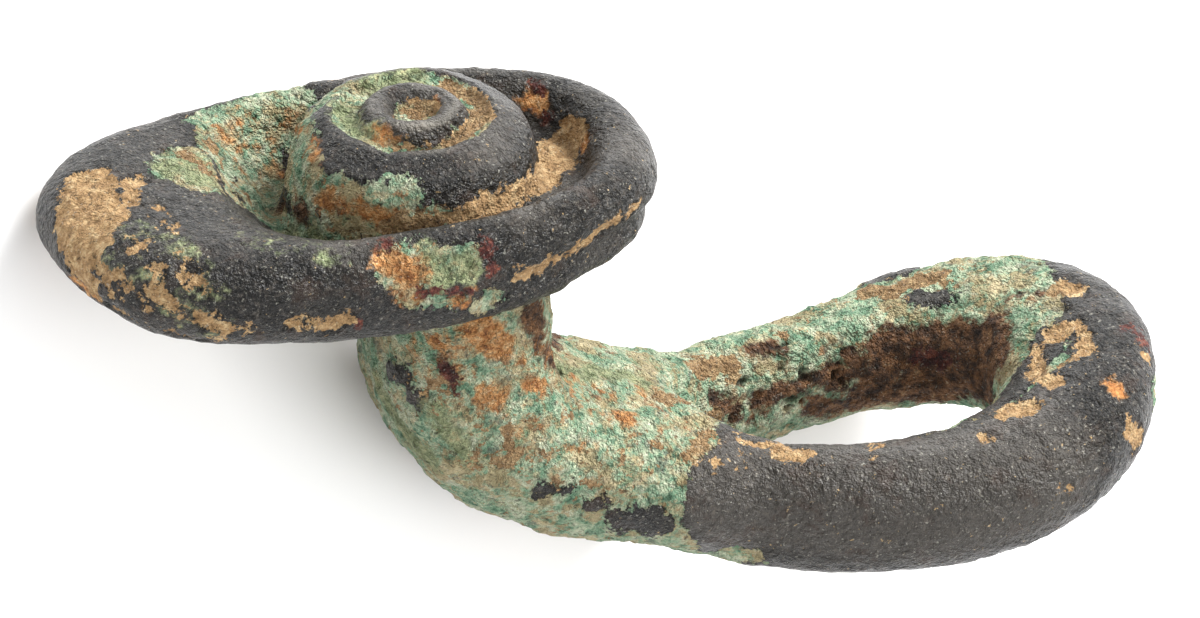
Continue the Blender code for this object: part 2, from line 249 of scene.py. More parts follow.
def seen_at(pixel):
    """The place on the casting, in millimetres, that a pixel of the photograph shows."""
    across = (pixel[0] / PHOTO_WIDTH - 0.5) * VIEW_WIDTH
    upwards = (0.5 - pixel[1] / PHOTO_HEIGHT) * VIEW_WIDTH * PHOTO_HEIGHT / PHOTO_WIDTH
    aim = (VIEW_TARGET + view_right * across + view_up * upwards) / MM
    place = surface.ray_cast(eye, (aim - eye).normalized())[0]
    if place is None:
        place = surface.find_nearest(aim)[0]
    return np.array(place)


print("The boss's dimple is at", seen_at((416, 108)).round(1), "mm")

# %% [markdown]
# ## Patches as brush strokes
# Each patch is a brush stroke: a radius in millimetres and the pixels that its middle runs through. For every
# point of the skin the depth inside the nearest stroke is kept, in millimetres, and it is below zero outside.
# A depth is better than a yes or no, because the edge can be made ragged or soft later.

# %% Depth inside strokes
FAR_OUTSIDE = 6.0
# A stroke of a single dot has no length to divide by, so this stands in for it.
LEAST_SQUARE = 0.001


def depth_inside(strokes):
    """How deep each point of the skin lies inside a set of strokes, in millimetres."""
    deepest = np.full(len(points), -FAR_OUTSIDE)
    for radius, *pixels in strokes.values():
        places = [seen_at(pixel) for pixel in pixels]
        for start, end in zip(places, places[1:] or places):
            along = end - start
            share = np.clip((points - start) @ along / max(along @ along, LEAST_SQUARE), 0, 1)
            gap = np.linalg.norm(points - start - share[:, None] * along, axis=1)
            deepest = np.maximum(deepest, radius - gap)
    return deepest


# %% [markdown]
# ## Where the black skin survives
# A smooth black skin covers the button and the near side of the loop. Under it lies green corrosion, which
# shows on the neck, on the loop's far arm and in the button's recess. So the black is painted as what
# survives, less what is lost.

# %% Black skin
# Above this height, in millimetres over the loop's underside, the casting is all button.
BUTTON_UNDERSIDE = 15.6

BLACK_STROKES = {
    "near_arm": (3.6, (790, 480), (850, 490), (950, 500), (1040, 470)),
    "near_arm_start": (1.5, (722, 482), (716, 505), (735, 545)),
    "near_arm_top": (0.9, (735, 440), (780, 455)),
    "loop_end": (3.1, (1050, 440), (1110, 395)),
    "loop_end_top": (2.2, (1120, 350), (1108, 310)),
    "loop_end_back": (1.2, (1085, 285), (1075, 270)),
    "loop_end_inner": (0.9, (990, 412), (1020, 385), (1036, 362), (1050, 340)),
    "near_arm_low": (1.8, (770, 556), (850, 562), (950, 548), (1040, 520), (1100, 480), (1140, 430)),
    "far_arm_edge": (0.5, (872, 283), (908, 272)),
    "far_arm_blot": (0.5, (920, 297), (945, 297)),
    "neck_blot_left": (0.5, (392, 368), (405, 372)),
    "neck_blot_low": (0.55, (417, 398)),
    "bend_blot": (0.5, (543, 489)),
    "bend_dot": (0.3, (568, 490)),
    "bend_blot_right": (0.5, (597, 505)),
    "bend_blot_long": (0.75, (625, 520), (655, 522)),
}
LOST_STROKES = {
    "lobe_back": (1.0, (172, 166), (195, 160), (200, 185)),
    "lobe_edge": (0.3, (160, 116), (200, 114)),
    "recess_slope": (1.5, (222, 128), (240, 158), (262, 185)),
    "recess_slope_front": (0.9, (250, 196), (278, 214)),
    "recess_crest": (0.7, (206, 132), (216, 158), (232, 186), (250, 206), (280, 228), (310, 235), (335, 234)),
    "crest_wedge": (0.5, (211, 150), (214, 158), (218, 168), (222, 178), (228, 190), (234, 198)),
    "recess_slope_top": (1.2, (235, 118), (285, 102), (330, 92)),
    "recess_far": (1.0, (262, 150), (262, 185)),
    "boss_flank": (1.2, (292, 125), (290, 160), (305, 195)),
    "boss_flank_top": (0.7, (304, 120), (306, 150), (314, 176)),
    "boss_flank_low": (0.75, (325, 190), (375, 200), (405, 195)),
    "boss_foot": (0.7, (318, 224), (345, 224), (380, 222), (430, 222)),
    "front_patch": (0.85, (397, 268), (425, 264), (463, 264)),
    "front_patch_low": (0.32, (408, 298), (460, 300)),
    "under_front": (0.6, (478, 306), (492, 298)),
    "front_dots": (0.35, (272, 229), (280, 228)),
    "front_green": (0.35, (308, 236), (328, 230)),
    "bottom_green": (0.6, (718, 552), (748, 556)),
}

# Soil fills the groove and the dimple on the boss, in millimetres from its middle.
GROOVE_MIDDLE = 2.86
GROOVE_HALF_WIDTH = 0.50
DIMPLE_RADIUS = 1.0
SOIL_FROM_HEIGHT = BOSS_FOOT_HEIGHT + 1.0
# Depth changes this much faster than distance there, so noise hardly frays the rings.
CRISPNESS = 1.8

boss_fill = CRISPNESS * np.maximum(GROOVE_HALF_WIDTH - abs(away - GROOVE_MIDDLE), DIMPLE_RADIUS - away)
boss_fill += np.where(points[:, 2] > SOIL_FROM_HEIGHT, 0.0, -FAR_OUTSIDE)
button_level = points[:, 2] - BUTTON_UNDERSIDE
lost = np.maximum(depth_inside(LOST_STROKES), boss_fill)
black = np.minimum(np.maximum(button_level, depth_inside(BLACK_STROKES)), -lost)
print("Black skin covers", round(100 * float((black > 0).mean())), "% of the casting")

# %% [markdown]
# ## Sand, rust and the other crusts
# Sandy soil is baked onto the lobe, into the channel round the boss and onto the loop. Rust-orange, dark red
# and yellow-green crusts are smaller and lie mostly where the black skin has gone. Each has strokes of its
# own, so that one can be moved without the others.

# %% Sandy deposit
SANDY_STROKES = {
    "lobe_face": (1.45, (90, 192), (95, 222), (85, 242)),
    "lobe_face_top": (0.6, (78, 178), (100, 176)),
    "lobe_face_right": (0.55, (128, 182), (130, 200)),
    "lobe_tip": (0.6, (68, 215), (66, 240)),
    "olive_tan": (0.3, (180, 152), (198, 162), (206, 172)),
    "crest_line": (0.14, (206, 134), (218, 158), (234, 186), (250, 202)),
    "lobe_foot": (0.7, (75, 262), (90, 285)),
    "lobe_streak": (0.3, (100, 268), (150, 290), (172, 304), (230, 328)),
    "lobe_fleck": (0.25, (132, 250), (144, 247)),
    "lobe_speck_a": (0.22, (150, 262), (158, 268)),
    "lobe_speck_b": (0.2, (178, 276), (186, 286)),
    "lobe_speck_c": (0.18, (140, 296), (148, 306)),
    "lobe_speck_d": (0.16, (196, 302)),
    "rim_streak": (0.25, (292, 324), (318, 322), (345, 321)),
    "channel": (0.6, (400, 229), (440, 222), (480, 210), (520, 192), (552, 170)),
    "channel_floor": (1.0, (545, 168), (560, 150), (572, 138)),
    "edge_groove": (0.35, (515, 276), (560, 257), (600, 230), (638, 202)),
    "neck_low": (0.45, (508, 432), (510, 458)),
    "strap_right": (0.4, (662, 396), (682, 400)),
    "skin_margin": (0.3, (712, 418), (706, 440), (692, 455)),
    "far_arm_left": (0.6, (698, 366), (732, 368)),
    "far_arm_mid": (0.5, (868, 292), (898, 290)),
    "far_arm_top": (0.45, (905, 284), (940, 278)),
    "near_arm_patch": (0.45, (782, 453), (808, 455)),
    "near_arm_flecks": (0.2, (740, 447), (766, 446)),
    "near_fleck_a": (0.16, (714, 465)),
    "near_fleck_b": (0.2, (872, 449), (880, 447)),
    "near_fleck_c": (0.12, (894, 437)),
    "near_fleck_d": (0.13, (875, 458)),
    "near_fleck_e": (0.13, (985, 439)),
    "loop_patch": (0.8, (1012, 413), (1026, 409)),
    "ring_patch_left": (0.4, (1034, 348), (1040, 375), (1055, 385)),
    "ring_patch_right": (0.38, (1052, 335), (1080, 328), (1084, 355), (1062, 368)),
    "end_top": (0.5, (1060, 290), (1074, 292)),
    "end_edge": (0.5, (1128, 432), (1136, 436)),
    "end_edge_low": (0.25, (1145, 358)),
    "gritty_low": (0.3, (1068, 486)),
}
BOSS_SAND_STROKES = {
    "groove_right": (0.75, (452, 84), (476, 92), (486, 105), (474, 124), (450, 138)),
    "groove_front": (0.45, (400, 144), (430, 145)),
    "dimple": (0.6, (416, 112), (428, 108)),
}
BOSS_SAND_SPREAD = 0.1

boss_sand = np.minimum(depth_inside(BOSS_SAND_STROKES), boss_fill + BOSS_SAND_SPREAD)
sandy = np.maximum(depth_inside(SANDY_STROKES), boss_sand)
print("Sand covers", round(100 * float((sandy > 0).mean())), "% of the casting")

# %% Rust-orange crust
ORANGE_STROKES = {
    "neck_top": (0.7, (478, 328), (500, 345)),
    "neck_left": (0.4, (434, 342), (442, 345)),
    "neck_side": (0.35, (528, 382), (545, 386)),
    "neck_mid": (0.55, (480, 392), (495, 400)),
    "neck_dot": (0.28, (517, 430)),
    "strap_mid": (0.45, (608, 414), (628, 422)),
    "strap_dot": (0.28, (642, 390)),
    "front_patch": (0.75, (390, 262), (410, 274)),
    "front_foot": (0.28, (405, 297), (415, 298)),
    "front_foot_right": (0.25, (455, 299), (466, 298)),
    "boss_foot": (0.35, (315, 198), (340, 205), (380, 216), (420, 218)),
    "boss_flank": (0.22, (290, 118), (302, 130)),
    "boss_flank_low": (0.25, (308, 145), (314, 162)),
    "recess_dots": (0.2, (218, 128), (228, 140)),
    "recess_dots_low": (0.18, (236, 162), (244, 172)),
    "recess_dot": (0.2, (258, 148)),
    "dimple": (0.35, (408, 116), (436, 104)),
    "groove_front": (0.3, (378, 138), (392, 141)),
    "wall_back": (0.3, (530, 98), (542, 108)),
    "wall_foot": (0.3, (578, 135), (586, 142)),
    "loop_dot": (0.3, (1118, 390)),
    "lobe_foot": (0.3, (75, 280), (95, 296)),
}
orange = depth_inside(ORANGE_STROKES)
print("Orange crust covers", round(100 * float((orange > 0).mean())), "%")

# %% Brown crust and painted shade, dark red and yellow-green crusts
BROWN_AND_SHADE_STROKES = {
    # neck_shadow, neck_right and neck_corner are painted shade: the shadow under the button on the neck.
    "neck_shadow": (0.75, (532, 310), (540, 342)),
    "neck_right": (0.45, (550, 322), (553, 345)),
    "neck_corner": (0.45, (545, 352), (556, 362)),
    # The far_wall strokes are partly brown crust and partly painted shade on the inner wall of the loop's far
    # arm.
    "far_wall": (1.25, (890, 355), (930, 346), (982, 345)),
    "far_wall_end": (0.9, (990, 330), (1000, 355)),
    "far_wall_low": (1.1, (870, 390), (930, 388), (985, 382)),
    "far_wall_lip": (0.8, (820, 408), (860, 405)),
    "far_wall_left": (0.5, (760, 400), (800, 385), (840, 370)),
    "far_wall_step": (0.75, (838, 382), (858, 362)),
    "eye_hollow": (0.55, (716, 400), (736, 412)),
    "neck_streak": (0.4, (440, 358), (452, 385)),
    "far_arm_patch": (0.4, (752, 350), (774, 347)),
    "recess_wall": (0.6, (528, 92), (560, 108), (580, 128)),
    "far_dot_a": (0.25, (1012, 296)),
    "far_dot_b": (0.22, (1040, 293)),
    # recess_hollow is painted shade in the deep corner to the left of the boss.
    "recess_hollow": (0.35, (284, 202), (306, 213)),
    "boss_pit": (0.25, (433, 139), (442, 140)),
}
RED_STROKES = {
    "front_patch_left": (0.3, (380, 248), (388, 246)),
    "front_patch_right": (0.3, (487, 248), (490, 272)),
    "front_patch_low": (0.25, (420, 289), (470, 290)),
    "wall_a": (0.22, (537, 86)),
    "wall_b": (0.22, (551, 118)),
    "wall_c": (0.22, (567, 134)),
    "neck_streak": (0.28, (446, 368), (456, 392)),
    "far_wall": (0.5, (915, 362), (945, 358)),
    "rim_dot": (0.18, (360, 322)),
    "end_top": (0.4, (1128, 328), (1142, 342)),
}
OLIVE_STROKES = {
    "lobe_back": (0.7, (168, 170), (190, 158), (198, 180)),
    "front_patch": (0.7, (428, 262), (440, 275)),
    "front_patch_right": (0.5, (465, 258), (468, 272)),
    "bend_streak": (0.5, (432, 405), (452, 440), (475, 462)),
    "neck_edge": (0.6, (378, 380), (398, 425), (432, 462)),
    "strap_top": (0.6, (560, 370), (600, 372), (640, 380)),
    "crest_front": (0.3, (285, 232), (325, 237)),
    "groove_left": (0.5, (342, 112), (352, 128), (372, 137)),
    "groove_back": (0.45, (365, 86), (415, 79)),
}
brown_and_shade = depth_inside(BROWN_AND_SHADE_STROKES)
red = depth_inside(RED_STROKES)
olive = depth_inside(OLIVE_STROKES)
print("Brown crust covers", round(100 * float((brown_and_shade > 0).mean())), "%")

# %% Pits, and dust with painted sheen
PITTED_STROKES = {
    "far_wall_left": (1.2, (735, 405), (780, 385), (830, 365)),
    "far_arm_left": (0.7, (740, 372), (800, 345)),
    # The pits by the neck's corner, under the button, darken it as painted shade as well as pitting it.
    "neck_corner": (0.7, (545, 345), (575, 360)),
    "strap_edge": (0.4, (630, 402), (640, 412)),
    "recess_slope": (0.7, (262, 120), (285, 110)),
    "channel_end": (0.6, (575, 105), (590, 130)),
}
# The black skin is greyer with dust on the loop and round the boss. On the rim the paler grey is painted
# sheen, a highlight put into the colour.
DUST_AND_SHEEN_STROKES = {
    "near_arm": (3.0, (740, 490), (850, 500), (950, 500), (1040, 470)),
    "near_arm_top": (1.2, (860, 455), (980, 440), (1040, 410)),
    # rim_right, rim_shine and rim_back paint the rim's highlight as paler grey: painted sheen.
    "rim_right": (1.1, (520, 212), (575, 184), (628, 150), (640, 125)),
    "rim_shine": (1.2, (552, 194), (572, 186), (580, 182)),
    "rim_back": (0.8, (600, 92), (560, 78)),
    "boss_right": (1.2, (480, 150), (520, 110)),
    "ring": (0.8, (380, 104), (410, 132), (450, 104), (420, 90)),
    "rim_front": (0.8, (330, 250), (370, 240)),
}
pitted = depth_inside(PITTED_STROKES)
dust_and_sheen = depth_inside(DUST_AND_SHEEN_STROKES)
print("Dust lies on", round(100 * float((dust_and_sheen > 0).mean())), "% of the casting")

# %% [markdown]
# ## Crusts worn to specks
# In some places only specks of a crust are left. There its depth stays just below zero, so that only the
# peaks of the ragged edge rise above it and show.

# %% Worn crusts
WORN_DEPTH = -0.22

WORN_SANDY_STROKES = {
    "lobe_middle": (1.3, (135, 215), (150, 255), (175, 290)),
    "lobe_low": (0.9, (110, 290), (160, 312), (235, 335)),
    "near_arm_start": (0.9, (712, 452), (760, 448), (800, 452)),
    "neck_face": (2.0, (430, 410), (520, 435), (620, 440)),
    "far_arm": (0.9, (760, 330), (860, 300), (960, 275)),
}
WORN_BROWN_STROKES = {
    "porous_wall": (1.5, (720, 400), (790, 385), (850, 370)),
    "neck_corner": (1.2, (545, 360), (590, 375)),
}
WORN_ORANGE_STROKES = {
    "neck": (1.8, (450, 350), (520, 390), (600, 410)),
    "recess": (1.0, (235, 130), (262, 165)),
}
WORN_OLIVE_STROKES = {
    "lobe": (1.2, (120, 240), (170, 270), (200, 310)),
    "rim_front": (0.5, (250, 240), (300, 245), (330, 248)),
}
sandy = np.maximum(sandy, np.minimum(depth_inside(WORN_SANDY_STROKES), WORN_DEPTH))
brown_and_shade = np.maximum(brown_and_shade, np.minimum(depth_inside(WORN_BROWN_STROKES), WORN_DEPTH))
orange = np.maximum(orange, np.minimum(depth_inside(WORN_ORANGE_STROKES), WORN_DEPTH))
olive = np.maximum(olive, np.minimum(depth_inside(WORN_OLIVE_STROKES), WORN_DEPTH))
print("Worn sand covers", round(100 * float((sandy == WORN_DEPTH).mean())), "% of the casting")

# %% [markdown]
# ## The sides the photograph doesn't show
# Half of the casting faces away. There the same crusts go on in patches of their own, made from smooth noise,
# in about the share that each one has on the side that shows.

# %% Unseen sides
# How squarely the skin faces the camera, where invented patches start and where they are all there is.
UNSEEN_FROM = 0.15
UNSEEN_FULL = -0.25
# Painted depths of the black skin are kept to this range there, in millimetres, and noise is added to them.
BLACK_LEAST = -0.7
BLACK_MOST = 1.3
BLACK_PATCH_DEPTH = 2.2


def cast_normals(mesh):
    """Which way each point of a mesh faces, along the casting's own directions."""
    flat = np.empty(len(mesh.vertices) * 3)
    mesh.vertices.foreach_get("normal", flat)
    return flat.reshape(-1, 3) @ np.array(world_to_cast.to_3x3()).T


facing = cast_normals(casting.data) @ np.array(view_back)
unseen = np.clip((UNSEEN_FROM - facing) / (UNSEEN_FROM - UNSEEN_FULL), 0, 1)


def carried_round(depth, size, share, shift):
    """A crust's depth with patches added on the unseen sides: more of them with a larger share."""
    return np.maximum(depth, unseen * drift(size, shift) * size - (1 - share) - FAR_OUTSIDE * (1 - unseen))


black_patches = np.clip(black, BLACK_LEAST, BLACK_MOST) + BLACK_PATCH_DEPTH * drift(size=3.2, shift=11.0)
black = black * (1 - unseen) + unseen * black_patches
sandy = carried_round(sandy, size=2.4, share=0.62, shift=23.0)
orange = carried_round(orange, size=1.4, share=0.65, shift=37.0)
brown_and_shade = carried_round(brown_and_shade, size=2.2, share=0.45, shift=51.0)
olive = carried_round(olive, size=1.8, share=0.5, shift=67.0)
print("Unseen:", round(100 * float((unseen > 0.5).mean())), "% of the skin")

# %% [markdown]
# ## Crests and hollows
# Raised edges are painted paler, partly as rubbed wear and partly as painted sheen, and hollows darker,
# partly as dirt and partly as painted shade. A shader can tell the two apart only while it renders, so the
# skin keeps its own record. Each point is compared with a smoothed copy of the skin: a point that stands
# above the copy is on a crest, and one below it is in a hollow.

# %% Crest height
CREST_STEPS = 14


def crest_height(mesh):
    """How far each point stands above a smoothed copy of its surroundings, in millimetres."""
    pairs = np.empty(len(mesh.edges) * 2, dtype=int)
    mesh.edges.foreach_get("vertices", pairs)
    start, end = pairs.reshape(-1, 2).T
    count = np.bincount(pairs, minlength=len(points))[:, None]
    smooth = points.copy()
    for _ in range(CREST_STEPS):
        total = np.stack([
            np.bincount(start, smooth[end, axis], len(points))
            + np.bincount(end, smooth[start, axis], len(points))
            for axis in range(3)
        ], axis=1)
        smooth = total / count
    return np.einsum("ij,ij->i", points - smooth, cast_normals(mesh))


crest = crest_height(casting.data)
print("Crests, mm:", np.percentile(crest, (1, 5, 20, 50, 80, 95, 99)).round(3))

# %% Fields kept on the skin
crusts = {"black_skin": black, "sandy": sandy, "orange": orange, "brown_and_shade": brown_and_shade, "red": red, "olive": olive}
fields = {**crusts, "pitted": pitted, "dust_and_sheen": dust_and_sheen, "crest": crest}
for name, values in fields.items():
    kept = casting.data.attributes.new(name, "FLOAT", "POINT")
    kept.data.foreach_set("value", values.astype(np.float32))
print("Fields on the skin:", ", ".join(fields))

# %% [markdown]
# ## Relief that follows a rule
# Ragged edges, lumps, pits and the step at the edge of the black skin follow simple rules from the fields, so
# a Geometry Nodes tree makes them. Its sizes are inputs with names, in metres. Sculpting by hand would look
# as good, but no one could change it later.

# %% One function for nodes
def add(tree, kind, inputs=(), **settings):
    """Adds a node, sets it up, and links or fills its inputs."""
    node = tree.nodes.new(kind)
    for name, value in settings.items():
        setattr(node, name, value)
    for socket, value in dict(inputs).items():
        if isinstance(value, bpy.types.NodeSocket):
            tree.links.new(value, node.inputs[socket])
        else:
            node.inputs[socket].default_value = value
    return node


# %% Relief tree and its inputs
RELIEF_SIZES = {
    "Edge wobble": 1.8 * MM,
    "Edge wobble size": 1.3 * MM,
    "Skin thickness": 0.10 * MM,
    "Lump size": 1.6 * MM,
    "Lump height": 0.8 * MM,
    "Grain size": 0.5 * MM,
    "Grain height": 0.35 * MM,
    "Pit size": 0.75 * MM,
    "Pit depth": 0.4 * MM,
}
print("Relief, mm:", {name: round(size / MM, 2) for name, size in RELIEF_SIZES.items()})

relief = bpy.data.node_groups.new("corroded_relief", "GeometryNodeTree")
relief.interface.new_socket("Geometry", in_out="INPUT", socket_type="NodeSocketGeometry")
relief.interface.new_socket("Geometry", in_out="OUTPUT", socket_type="NodeSocketGeometry")
for name in RELIEF_SIZES:
    relief.interface.new_socket(name, in_out="INPUT", socket_type="NodeSocketFloat")
relief.interface.new_socket("Finish", in_out="INPUT", socket_type="NodeSocketMaterial")
given = add(relief, "NodeGroupInput").outputs
place = add(relief, "GeometryNodeInputPosition").outputs[0]

# %% Clouds of noise
# Each: the input that gives its size, its fixed seed, and its detail.
CLOUDS = {
    "lumps": ("Lump size", 41.0, 3.0),
    "grains": ("Grain size", 53.0, 3.0),
    "scatter": ("Lump size", 67.0, 2.0),
}
EDGE_SEED_STEP = 3.7
EDGE_DETAIL = 5.0
for number, name in enumerate(crusts):
    CLOUDS[name] = ("Edge wobble size", EDGE_SEED_STEP * number, EDGE_DETAIL)
CLOUD_ROUGHNESS = 0.6

clouds = {}
for name, (size, seed, detail) in CLOUDS.items():
    rate = add(relief, "ShaderNodeMath", {0: 1.0, 1: given[size]}, operation="DIVIDE").outputs[0]
    cloud = add(
        relief, "ShaderNodeTexNoise",
        {"Vector": place, "W": seed, "Scale": rate, "Detail": detail, "Roughness": CLOUD_ROUGHNESS},
        noise_dimensions="4D",
    ).outputs[0]
    # Noise runs from 0 to 1, so this takes its middle to 0.
    clouds[name] = add(relief, "ShaderNodeMath", {0: cloud, 1: 0.5}, operation="SUBTRACT").outputs[0]
print("Clouds:", ", ".join(clouds))

# %% Ragged edges
wobble = add(relief, "ShaderNodeMath", {0: given["Edge wobble"], 1: MM}, operation="DIVIDE").outputs[0]
skin = given["Geometry"]
ragged_depths = {}
for name in crusts:
    depth = add(relief, "GeometryNodeInputNamedAttribute", {"Name": name}, data_type="FLOAT").outputs[0]
    ragged = add(
        relief, "ShaderNodeMath", {0: clouds[name], 1: wobble, 2: depth}, operation="MULTIPLY_ADD",
    ).outputs[0]
    skin = add(
        relief, "GeometryNodeStoreNamedAttribute", {"Geometry": skin, "Name": name, "Value": ragged},
        data_type="FLOAT", domain="POINT",
    ).outputs[0]
    ragged_depths[name] = ragged
print("Nodes so far:", len(relief.nodes))

# %% Where the black skin is whole
# The sandy and orange crusts lie where the skin has flaked.
SKIN_SMOOTHNESS = 0.6
# The skin's edge slopes over twice this, in millimetres.
EDGE_SOFTNESS = 0.12

cover = {}
for name in ("black_skin", "sandy", "orange"):
    cover[name] = add(
        relief, "ShaderNodeMapRange",
        {"Value": ragged_depths[name], "From Min": -EDGE_SOFTNESS, "From Max": EDGE_SOFTNESS},
        interpolation_type="SMOOTHSTEP",
    ).outputs[0]
flaked = add(
    relief, "ShaderNodeMath", {0: cover["sandy"], 1: cover["orange"]}, operation="MAXIMUM",
).outputs[0]
whole = add(relief, "ShaderNodeMath", {0: 1.0, 1: flaked}, operation="SUBTRACT").outputs[0]
covered = add(relief, "ShaderNodeMath", {0: cover["black_skin"], 1: whole}, operation="MULTIPLY").outputs[0]
rough = add(
    relief, "ShaderNodeMath", {0: covered, 1: -SKIN_SMOOTHNESS, 2: 1.0}, operation="MULTIPLY_ADD",
).outputs[0]
print("Nodes so far:", len(relief.nodes))

# %% Pits
# A pit is the middle of a Voronoi cell. Each pair says where pits start and where they are deepest: by the
# distance from the cell's middle, in cells, and by the depth inside the pitted strokes, in millimetres.
PIT_WALL = (0.42, 0.12)
PITTED_EDGE = (-0.2, 0.3)
PIT_SCATTER = 3.0
# The cells are stirred, or the pits would be round.
PIT_STIR = 1.0 * MM
PIT_STIR_DETAIL = 3.0

pit_rate = add(relief, "ShaderNodeMath", {0: 1.0, 1: given["Pit size"]}, operation="DIVIDE").outputs[0]
stir = add(
    relief, "ShaderNodeTexNoise", {"Vector": place, "Scale": pit_rate, "Detail": PIT_STIR_DETAIL},
).outputs["Color"]
stir = add(relief, "ShaderNodeVectorMath", {0: stir, "Scale": PIT_STIR}, operation="SCALE").outputs[0]
stirred = add(relief, "ShaderNodeVectorMath", {0: place, 1: stir}, operation="ADD").outputs[0]
cells = add(relief, "ShaderNodeTexVoronoi", {"Vector": stirred, "Scale": pit_rate}).outputs[0]
depth = add(relief, "GeometryNodeInputNamedAttribute", {"Name": "pitted"}, data_type="FLOAT").outputs[0]
porous = add(
    relief, "ShaderNodeMath", {0: clouds["scatter"], 1: PIT_SCATTER, 2: depth}, operation="MULTIPLY_ADD",
).outputs[0]
pits = rough
for value, (start, full) in ((cells, PIT_WALL), (porous, PITTED_EDGE)):
    share = add(
        relief, "ShaderNodeMapRange", {"Value": value, "From Min": start, "From Max": full},
        interpolation_type="SMOOTHSTEP",
    ).outputs[0]
    pits = add(relief, "ShaderNodeMath", {0: pits, 1: share}, operation="MULTIPLY").outputs[0]
print("Nodes so far:", len(relief.nodes))

# %% Height of the relief
height = 0.0
for amount, share, weight in (
    (given["Skin thickness"], covered, 1.0),
    (given["Lump height"], clouds["lumps"], rough),
    (given["Grain height"], clouds["grains"], rough),
    (given["Pit depth"], pits, -1.0),
):
    share = add(relief, "ShaderNodeMath", {0: share, 1: weight}, operation="MULTIPLY").outputs[0]
    height = add(
        relief, "ShaderNodeMath", {0: amount, 1: share, 2: height}, operation="MULTIPLY_ADD",
    ).outputs[0]
print("Nodes so far:", len(relief.nodes))

# %% The tree's last nodes
normal = add(relief, "GeometryNodeInputNormal").outputs[0]
rise = add(relief, "ShaderNodeVectorMath", {0: normal, "Scale": height}, operation="SCALE").outputs[0]
skin = add(
    relief, "GeometryNodeStoreNamedAttribute", {"Geometry": skin, "Name": "pits", "Value": pits},
    data_type="FLOAT", domain="POINT",
).outputs[0]
skin = add(relief, "GeometryNodeSetPosition", {"Geometry": skin, "Offset": rise}).outputs[0]
skin = add(relief, "GeometryNodeRealizeInstances", {"Geometry": skin}).outputs[0]
skin = add(relief, "GeometryNodeSetMaterial", {"Geometry": skin, "Material": given["Finish"]}).outputs[0]
add(relief, "NodeGroupOutput", {"Geometry": skin})
print("Relief tree:", len(relief.nodes), "nodes")

# %% [markdown]
# ## The finish: patinated bronze
# The metal is bronze, cast in a mould and then buried. None of it is bare: the eye sees a dark, slightly
# shiny skin of copper oxide and sulphide, powdery green copper carbonates, and sand and rust from the soil,
# which are matt. So nothing here is metallic. A painted picture could carry all this, but only down to the
# size of its pixels. Instead each crust has a ramp of its own colours, and the fields on the skin say where
# it lies.

# %% Colours of the crusts
def linear(code):
    """An sRGB hex colour as Blender's linear one, by the curve of the sRGB standard."""
    shares = [int(code[start : start + 2], 16) / 255 for start in (0, 2, 4)]
    levels = [share / 12.92 if share <= 0.04045 else ((share + 0.055) / 1.055) ** 2.4 for share in shares]
    return [*levels, 1.0]


# Each crust: the size of its mottling in mm, its roughness, how far its edge fades in mm, and its colours
# from where the noise is low to where it is high. The green malachite lies lowest, the others over it.
CRUSTS = {
    "malachite": (0.8, 0.85, 0.1, (
        (0.28, "38503d"), (0.38, "62876a"), (0.46, "8aa88a"), (0.54, "abba9a"), (0.63, "c9ceb2"),
        (0.74, "959a74"),
    )),
    # The brown's colours also serve as painted shade under the button, in the recess's hollow and on the far
    # inner wall.
    "brown_and_shade": (0.6, 0.8, 0.25, (
        (0.33, "241710"), (0.46, "503724"), (0.58, "7c5739"), (0.70, "9a7856"),
    )),
    "black_skin": (0.28, 0.34, 0.06, (
        (0.32, "030303"), (0.44, "0c0b0a"), (0.55, "1b1917"), (0.68, "443f39"),
    )),
    "olive": (0.6, 0.85, 0.3, (
        (0.32, "5c6843"), (0.46, "86906a"), (0.58, "a5ab82"), (0.70, "b9ac80"),
    )),
    "orange": (0.5, 0.85, 0.26, (
        (0.30, "784724"), (0.42, "a76f3e"), (0.54, "c38e58"), (0.68, "d3ae80"),
    )),
    "red": (0.5, 0.7, 0.12, (
        (0.35, "220c0b"), (0.50, "4a1f19"), (0.65, "76402f"),
    )),
    "sandy": (0.5, 0.9, 0.06, (
        (0.30, "745a3c"), (0.44, "937551"), (0.54, "a4865f"), (0.68, "bfa57d"),
    )),
}
print("Crusts, from the lowest:", ", ".join(CRUSTS))

# %% The material and its noise
bronze = bpy.data.materials.new("patinated_bronze")
bronze.use_nodes = True
shader = bronze.node_tree
glaze = shader.nodes["Principled BSDF"]
where = add(shader, "ShaderNodeTexCoord").outputs["Object"]

# About a pixel of the photograph, in mm. Noise finer than this wouldn't show.
FINEST = 0.05
# Longer than the casting, so that no two textures read the same part of the noise.
NOISE_SHIFT = 60 * MM
seeds = itertools.count()


def cloud_inputs(size, roughness=0.72, distortion=0.15):
    """A Noise Texture's inputs for lumps of a size in mm, in a part of the noise of its own."""
    shift = (next(seeds) * NOISE_SHIFT, 0, 0)
    moved = add(shader, "ShaderNodeVectorMath", {0: where, 1: shift}, operation="ADD").outputs[0]
    octaves = max(math.log2(size / FINEST), 1.0)
    return {
        "Vector": moved, "Scale": 1 / (size * MM), "Detail": octaves, "Roughness": roughness,
        "Distortion": distortion,
    }


print("Material:", bronze.name)

# %% Masks with fine ragged edges
# The edges of the crusts crumble: lumps of this size, in mm, move them by up to half this depth.
CRUMBLE_SIZE = 0.5
CRUMBLE_DEPTH = 1.7

